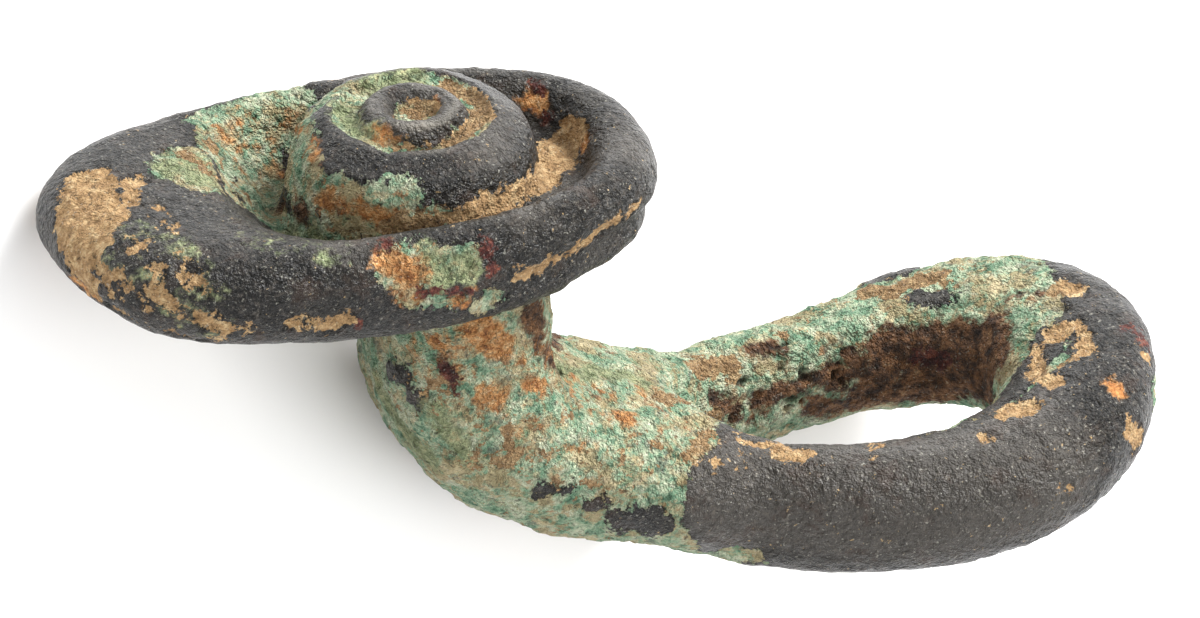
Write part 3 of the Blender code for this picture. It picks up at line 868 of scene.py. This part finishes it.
crumble = add(shader, "ShaderNodeTexNoise", cloud_inputs(CRUMBLE_SIZE, distortion=0.0)).outputs[0]
masks = {}
for name in crusts:
    fade = CRUSTS[name][2]
    depth = add(shader, "ShaderNodeAttribute", attribute_name=name).outputs["Fac"]
    ragged = add(
        shader, "ShaderNodeMath", {0: crumble, 1: CRUMBLE_DEPTH, 2: depth}, operation="MULTIPLY_ADD",
    ).outputs[0]
    masks[name] = add(
        shader, "ShaderNodeMapRange",
        {"Value": ragged, "From Min": CRUMBLE_DEPTH / 2 - fade, "From Max": CRUMBLE_DEPTH / 2 + fade},
        interpolation_type="SMOOTHSTEP",
    ).outputs[0]
print("Masks:", ", ".join(masks))

# %% Mottled colour of each crust
mottled = {}
for name, (size, _, _, stops) in CRUSTS.items():
    cloud = add(shader, "ShaderNodeTexNoise", cloud_inputs(size)).outputs[0]
    ramp = add(shader, "ShaderNodeValToRGB", {"Fac": cloud})
    while len(ramp.color_ramp.elements) < len(stops):
        ramp.color_ramp.elements.new(1.0)
    for element, (position, code) in zip(ramp.color_ramp.elements, stops):
        element.position = position
        element.color = linear(code)
    mottled[name] = ramp.outputs[0]
print("Mottled colours:", len(mottled))

# %% [markdown]
# ## Veils and flecks
# On the real thing no crust is clean. Soil stains lie over the green in soft veils a millimetre or two
# across, and fine flecks of rust, pale grains and dark pores are scattered over everything. They could be
# placed one by one, but there are thousands. Each kind is noise with its lower part cut away, so one row of
# sizes describes it. On the black skin the pale grains are partly painted glints.

# %% Rows of veils and flecks
# Each: its size in mm, where the noise starts to show and where it is full, its colour, and its strength.
GREEN_VEILS = {
    "soil": (1.9, 0.49, 0.58, "b5966b", 0.65),
    "pale_soil": (0.9, 0.55, 0.63, "d3c49b", 0.6),
    "teal": (1.5, 0.57, 0.66, "5a9473", 0.45),
    "rust": (0.8, 0.60, 0.67, "a26c42", 0.7),
    "grey": (1.6, 0.58, 0.66, "5d6259", 0.6),
}
BLACK_VEILS = {
    "dust": (3.0, 0.50, 0.66, "35312c", 0.45),
    "brown_tarnish": (1.7, 0.52, 0.66, "3a2c24", 0.6),
    # The pale grains on the black skin are partly grains of its own and partly painted glints.
    "pale_grains_and_glints": (0.16, 0.60, 0.74, "7d776a", 0.3),
    "tan_grains": (0.35, 0.67, 0.71, "b59a6e", 0.7),
}
ALL_FLECKS = {
    "pores": (0.32, 0.60, 0.68, "1e1a15", 0.6),
    "dark_grains": (0.2, 0.54, 0.64, "2c2920", 0.28),
    "pale_flecks": (0.16, 0.62, 0.72, "e4e2d2", 0.22),
}


def veiled(colour, veils):
    """A colour with veils or flecks laid over it, one after another."""
    for size, low, high, code, strength in veils.values():
        cloud = add(shader, "ShaderNodeTexNoise", cloud_inputs(size)).outputs[0]
        share = add(
            shader, "ShaderNodeMapRange",
            {"Value": cloud, "From Min": low, "From Max": high, "To Max": strength},
            interpolation_type="SMOOTHSTEP",
        ).outputs[0]
        colour = add(
            shader, "ShaderNodeMix", {0: share, 6: colour, 7: linear(code)}, data_type="RGBA",
        ).outputs[2]
    return colour


print("Veils:", ", ".join([*GREEN_VEILS, *BLACK_VEILS]), "and flecks:", ", ".join(ALL_FLECKS))

# %% Dust and painted sheen on the black skin
DUST_AND_SHEEN = "77716a"
DUST_AND_SHEEN_STRENGTH = 0.27
# How deep in the dust-and-sheen strokes the paler grey starts and is full, in millimetres.
DUST_AND_SHEEN_STARTS = -0.6
DUST_AND_SHEEN_FULL = 1.0

dust_and_sheen_depth = add(shader, "ShaderNodeAttribute", attribute_name="dust_and_sheen").outputs["Fac"]
dust_and_sheen_share = add(
    shader, "ShaderNodeMapRange",
    {"Value": dust_and_sheen_depth, "From Min": DUST_AND_SHEEN_STARTS, "From Max": DUST_AND_SHEEN_FULL, "To Max": DUST_AND_SHEEN_STRENGTH},
    interpolation_type="SMOOTHSTEP",
).outputs[0]
dusted_and_sheened = add(
    shader, "ShaderNodeMix", {0: dust_and_sheen_share, 6: mottled["black_skin"], 7: linear(DUST_AND_SHEEN)}, data_type="RGBA",
).outputs[2]
print("Dust:", DUST_AND_SHEEN, "at up to", DUST_AND_SHEEN_STRENGTH)

# %% Crusts laid over each other
mottled["malachite"] = veiled(mottled["malachite"], GREEN_VEILS)
mottled["black_skin"] = veiled(dusted_and_sheened, BLACK_VEILS)

lowest, *upper = CRUSTS
colour = mottled[lowest]
roughness = CRUSTS[lowest][1]
for name in upper:
    colour = add(
        shader, "ShaderNodeMix", {0: masks[name], 6: colour, 7: mottled[name]}, data_type="RGBA",
    ).outputs[2]
    roughness = add(shader, "ShaderNodeMix", {0: masks[name], 2: roughness, 3: CRUSTS[name][1]}).outputs[0]
colour = veiled(colour, ALL_FLECKS)
print("Patina so far:", len(shader.nodes), "nodes")

# %% [markdown]
# ## Dirt, wear, painted shade and sheen, and grit
# Crests are painted paler, partly as rubbed wear from handling and partly as painted sheen. Hollows and pits
# are painted darker, partly as dirt and partly as painted shade. The fields on the skin say where those are,
# so these marks sit in the right places from every side. Below the size of the mesh's faces the crusts are
# still gritty. That is bump in the shader, because geometry so fine would take millions of faces. The black
# skin is smoother, so its bump is tamed.

# %% Dirt and painted shade in hollows, rubbed crests and painted sheen
# Dark in hollows and pits is partly dirt and partly painted shade; pale on crests is partly rubbed wear and
# partly painted sheen.
DIRT_AND_SHADE = "2a241c"
RUBBED_AND_SHEEN = "a39d90"
# Lower than the usual 0.5, because crusts are porous and matt. It is set on the shader's own socket, because
# the export drops a linked one.
SPECULAR = 0.28

crest_field = add(shader, "ShaderNodeAttribute", attribute_name="crest").outputs["Fac"]
pits_field = add(shader, "ShaderNodeAttribute", attribute_name="pits").outputs["Fac"]
# Each: its field, where it starts and is full, its colour and its strength. Crest heights are in millimetres.
WEAR = {
    "dirt_and_shade_in_hollows": (crest_field, -0.04, -0.22, DIRT_AND_SHADE, 0.55),
    "dirt_and_shade_in_pits": (pits_field, 0.1, 0.9, DIRT_AND_SHADE, 0.8),
    "rubbed_and_sheen_crests": (crest_field, 0.10, 0.22, RUBBED_AND_SHEEN, 0.35),
}
for field, low, high, code, strength in WEAR.values():
    share = add(
        shader, "ShaderNodeMapRange", {"Value": field, "From Min": low, "From Max": high, "To Max": strength},
        interpolation_type="SMOOTHSTEP",
    ).outputs[0]
    colour = add(
        shader, "ShaderNodeMix", {0: share, 6: colour, 7: linear(code)}, data_type="RGBA",
    ).outputs[2]
shader.links.new(colour, glaze.inputs["Base Color"])
shader.links.new(roughness, glaze.inputs["Roughness"])
glaze.inputs["Specular IOR Level"].default_value = SPECULAR
print("Wear:", ", ".join(WEAR))

# %% Grit in the light
GRIT_DEPTH = 1.0 * MM
# Each: its size in mm, and its height as a share of the grit's depth.
GRIT = {"grains": (0.2, 0.6), "lumps": (1.0, 2.6)}
BLACK_TAMENESS = 0.70
BLACK_STEP = 0.15

black_mask = masks["black_skin"]
tame = add(
    shader, "ShaderNodeMath", {0: black_mask, 1: -BLACK_TAMENESS, 2: 1.0}, operation="MULTIPLY_ADD",
).outputs[0]
grit = add(shader, "ShaderNodeMath", {0: black_mask, 1: BLACK_STEP}, operation="MULTIPLY").outputs[0]
for size, amount in GRIT.values():
    cloud = add(shader, "ShaderNodeTexNoise", cloud_inputs(size)).outputs[0]
    cloud = add(shader, "ShaderNodeMath", {0: cloud, 1: amount}, operation="MULTIPLY").outputs[0]
    grit = add(shader, "ShaderNodeMath", {0: cloud, 1: tame, 2: grit}, operation="MULTIPLY_ADD").outputs[0]
bump = add(shader, "ShaderNodeBump", {"Strength": 1.0, "Distance": GRIT_DEPTH, "Height": grit})
shader.links.new(bump.outputs[0], glaze.inputs["Normal"])
print("Patina:", len(shader.nodes), "nodes")

# %% [markdown]
# ## The relief is made real
# The modifier's inputs are set by their identifiers, before anything evaluates the tree. Then the result is
# kept as a plain mesh and the modifier goes, so that the mesh is the shape that is seen.

# %% Relief and finish on the casting
relief_of = casting.modifiers.new("relief", "NODES")
relief_of.node_group = relief
for item in relief.interface.items_tree:
    if item.in_out == "INPUT" and item.name in RELIEF_SIZES:
        relief_of[item.identifier] = RELIEF_SIZES[item.name]
    if item.in_out == "INPUT" and item.name == "Finish":
        relief_of[item.identifier] = bronze
smooth_skin = casting.data
casting.data = frozen(casting)
casting.modifiers.clear()
bpy.data.meshes.remove(smooth_skin)
print("Corroded skin:", 2 * len(casting.data.polygons), "triangles")

# %% [markdown]
# ## Floor and light
# The photograph has a plain white ground and soft light from the upper right, with a weaker light on the near
# side. A white floor, two large lamps and a white sky give that. One strong small lamp would be simpler, but
# its shadows would be hard. The lamps' directions are those of the upright casting, as the camera's are.

# %% Floor
FLOOR_SIZE = 1.2
FLOOR_WHITE = 0.93
FLOOR_ROUGHNESS = 0.9

bpy.ops.mesh.primitive_plane_add(size=FLOOR_SIZE)
floor = bpy.context.active_object
floor.name = "floor"

# White paper is matt and almost as bright as the light on it, so it nearly vanishes, as in the photograph.
paper = bpy.data.materials.new("white_paper")
paper.use_nodes = True
matt = paper.node_tree.nodes["Principled BSDF"]
matt.inputs["Base Color"].default_value = (FLOOR_WHITE, FLOOR_WHITE, FLOOR_WHITE, 1.0)
matt.inputs["Roughness"].default_value = FLOOR_ROUGHNESS
floor.data.materials.append(paper)
print("Floor:", FLOOR_SIZE, "m across")

# %% Lights
SKY_STRENGTH = 0.72


def area_light(name, cast_direction, distance, size, power):
    """A square lamp that shines on the casting from a direction of the upright casting."""
    lamp = linked(name, bpy.data.lights.new(name, "AREA"))
    lamp.data.size = size
    lamp.data.energy = power
    lamp.location = cast_to_world @ (VIEW_TARGET + Vector(cast_direction).normalized() * distance)
    lamp.rotation_mode = "QUATERNION"
    lamp.rotation_quaternion = (lamp.location - cast_to_world @ VIEW_TARGET).to_track_quat("Z", "Y")


fill_direction = view_back * 0.7 + view_right * 0.7 - view_up * 0.4
area_light("key", (0.9, -0.05, 1.0), distance=0.6, size=0.35, power=8.5)
area_light("fill", fill_direction, distance=0.6, size=0.5, power=3.0)
world = bpy.data.worlds.new("studio")
bpy.context.scene.world = world
world.use_nodes = True
sky = world.node_tree.nodes["Background"]
sky.inputs["Color"].default_value = (1.0, 1.0, 1.0, 1.0)
sky.inputs["Strength"].default_value = SKY_STRENGTH
print("Lamps:", ", ".join(lamp.name for lamp in bpy.data.lights))

bpy.context.scene.view_settings.view_transform = "Standard"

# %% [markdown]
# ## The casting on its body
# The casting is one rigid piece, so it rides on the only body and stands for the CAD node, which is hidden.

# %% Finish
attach(casting, "root")
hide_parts("fastener_casting")
